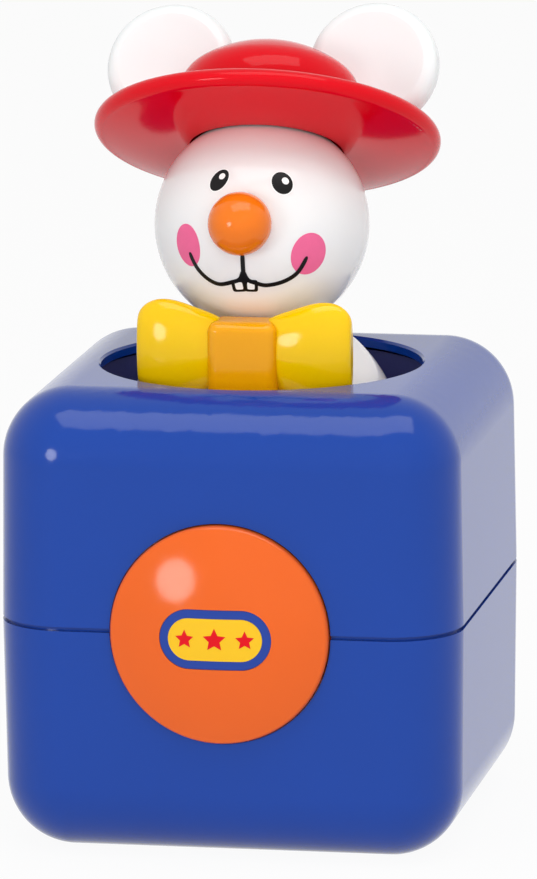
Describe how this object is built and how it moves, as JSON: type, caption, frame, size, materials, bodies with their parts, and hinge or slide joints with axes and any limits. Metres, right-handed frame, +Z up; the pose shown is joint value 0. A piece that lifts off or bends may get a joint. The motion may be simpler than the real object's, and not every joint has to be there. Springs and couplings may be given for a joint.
{
  "type": "pop up animal toy",
  "caption": "Rounded box toy with a sprung mouse figure that pops up through the top when the round front button is pressed.",
  "frame": {"origin": "centre of the flat underside of the box", "axes": "+Z up out of the box, -Y towards the child, the side with the button, +X to the viewer's right"},
  "size_m": [0.12, 0.1273, 0.2099],
  "materials": {
    "box_blue": "glossy moulded",
    "sleeve_black": "satin moulded",
    "button_orange": "glossy moulded",
    "badge_blue": "printed and lacquered",
    "badge_yellow": "printed and lacquered",
    "figure_white": "glossy moulded",
    "ear_white": "glossy moulded",
    "hat_red": "glossy moulded",
    "nose_orange": "glossy moulded",
    "bow_yellow": "glossy moulded",
    "knot_yellow": "glossy moulded",
    "latch_white": "satin moulded",
    "spring_steel": "drawn wire",
    "screw_steel": "zinc plated"
  },
  "bodies": {
    "box": {"lower_shell": "box_blue", "upper_shell": "box_blue", "case_screws": "screw_steel", "guide_sleeve": "sleeve_black", "main_spring": "spring_steel"},
    "button": {"button_cap": "button_orange", "badge_rim": "badge_blue", "badge_field": "badge_yellow", "latch_ring": "latch_white", "button_screws": "screw_steel", "button_spring_left": "spring_steel", "button_spring_right": "spring_steel"},
    "figure": {"body_shell": "figure_white", "neck_post": "figure_white", "neck_screw": "screw_steel", "bow_left_loop": "bow_yellow", "bow_right_loop": "bow_yellow", "bow_knot": "knot_yellow", "bow_screw": "screw_steel"},
    "head": {"head_front": "figure_white", "head_back": "figure_white", "nose": "nose_orange", "hat_brim": "hat_red", "hat_crown": "hat_red", "ear_left": "ear_white", "ear_right": "ear_white"}
  },
  "joints": [
    {"name": "figure_rise", "type": "slide", "parent": "box", "child": "figure", "axis": [0, 0, 1], "range_m": [-0.0569, 0], "stiffness_N_per_m": 90, "springref_m": 0.03, "deforming": ["main_spring"]},
    {"name": "head_tilt", "type": "hinge", "parent": "figure", "child": "head", "pos_m": [0, 0.002, 0.1557], "axis": [0.9988, 0.0489, 0], "range_deg": [0, 28.5]},
    {"name": "button_press", "type": "slide", "parent": "box", "child": "button", "axis": [0, 1, 0], "range_m": [0, 0.0035], "stiffness_N_per_m": 600, "springref_m": -0.002, "deforming": ["button_spring_left", "button_spring_right"]}
  ],
  "couplings": [
    {"joint": "head_tilt", "follows": "figure_rise", "rad_per_m": -8.6459}
  ]
}
